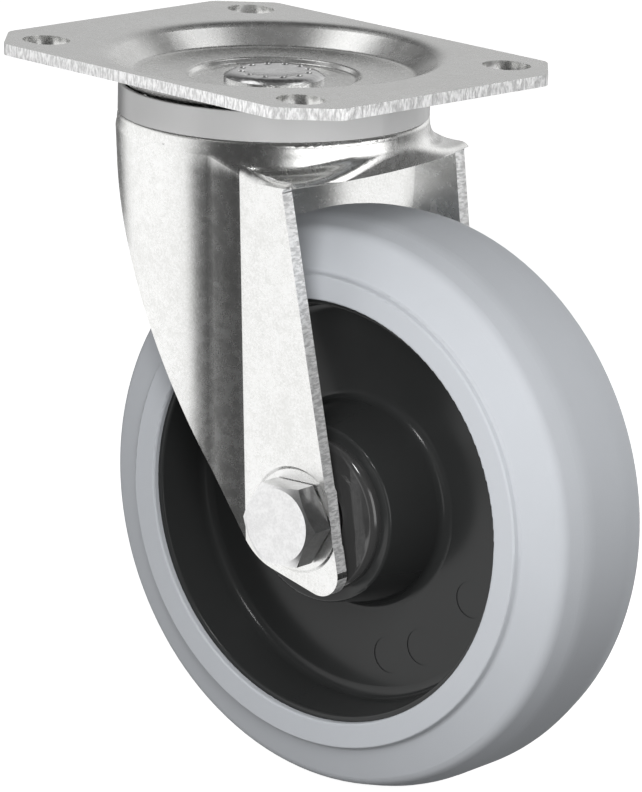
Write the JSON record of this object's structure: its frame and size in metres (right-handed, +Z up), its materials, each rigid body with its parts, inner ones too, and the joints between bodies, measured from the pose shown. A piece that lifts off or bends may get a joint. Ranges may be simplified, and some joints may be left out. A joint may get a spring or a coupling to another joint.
{
  "type": "swivel castor",
  "caption": "Swivel castor: slotted top plate with a pressed dish, zinc-plated sheet fork on a double ball race, and a grey rubber-tyred wheel on a through bolt.",
  "frame": {"origin": "centre of the top face of the plate, on the swivel axis, which is also the centre of the four slots", "axes": "+Z up along the swivel axis, away from the floor; +X along the long side of the plate, towards the side the wheel trails to; +Y along its short side. The fork and wheel rest turned 8 degrees about +Z."},
  "size_m": [0.1449, 0.0822, 0.155],
  "materials": {
    "zinc_plated_steel": "bright zinc plate, slightly grained",
    "turned_steel": "turned",
    "ball_steel": "polished",
    "bearing_steel": "ground",
    "grey_plastic": "satin moulded",
    "nylon": "satin",
    "grey_rubber": "matt moulded",
    "black_polyamide": "satin moulded",
    "black_gloss_plastic": "gloss"
  },
  "bodies": {
    "plate": {"top_plate": "zinc_plated_steel", "king_pin": "zinc_plated_steel", "ball_cup": "zinc_plated_steel"},
    "fork": {"fork": "zinc_plated_steel", "seal_ring": "grey_plastic", "axle_bolt": "zinc_plated_steel", "axle_nut": "zinc_plated_steel", "nut_insert": "nylon", "axle_sleeve": "turned_steel", "middle_spacer": "turned_steel", "near_spacer": "turned_steel", "far_spacer": "turned_steel", "near_inner_race": "bearing_steel", "far_inner_race": "bearing_steel"},
    "wheel": {"tyre": "grey_rubber", "rim": "black_polyamide", "near_outer_race": "bearing_steel", "far_outer_race": "bearing_steel", "near_outer_shield": "bearing_steel", "near_inner_shield": "bearing_steel", "far_outer_shield": "bearing_steel", "far_inner_shield": "bearing_steel", "near_cap": "black_gloss_plastic", "far_cap": "black_gloss_plastic"},
    "upper_ball_row": {"upper_balls": "ball_steel"},
    "lower_ball_row": {"lower_balls": "ball_steel"},
    "near_ball_set": {"near_bearing_balls": "ball_steel", "near_cage": "bearing_steel"},
    "far_ball_set": {"far_bearing_balls": "ball_steel", "far_cage": "bearing_steel"}
  },
  "joints": [
    {"name": "swivel", "type": "hinge", "parent": "plate", "child": "fork", "pos_m": [0, 0, -0.0126], "axis": [0, 0, 1], "continuous": true},
    {"name": "wheel_spin", "type": "hinge", "parent": "fork", "child": "wheel", "pos_m": [0.02971, 0.00418, -0.0925], "axis": [-0.1392, 0.9903, 0], "continuous": true},
    {"name": "upper_row_turn", "type": "hinge", "parent": "plate", "child": "upper_ball_row", "pos_m": [0, 0, -0.0126], "axis": [0, 0, 1], "continuous": true},
    {"name": "lower_row_turn", "type": "hinge", "parent": "plate", "child": "lower_ball_row", "pos_m": [0, 0, -0.0126], "axis": [0, 0, 1], "continuous": true},
    {"name": "near_set_turn", "type": "hinge", "parent": "fork", "child": "near_ball_set", "pos_m": [0.02971, 0.00418, -0.0925], "axis": [-0.1392, 0.9903, 0], "continuous": true},
    {"name": "far_set_turn", "type": "hinge", "parent": "fork", "child": "far_ball_set", "pos_m": [0.02971, 0.00418, -0.0925], "axis": [-0.1392, 0.9903, 0], "continuous": true}
  ],
  "couplings": [
    {"joint": "upper_row_turn", "follows": "swivel", "ratio": 0.5},
    {"joint": "lower_row_turn", "follows": "swivel", "ratio": 0.5},
    {"joint": "near_set_turn", "follows": "wheel_spin", "ratio": 0.6352},
    {"joint": "far_set_turn", "follows": "wheel_spin", "ratio": 0.6352}
  ]
}
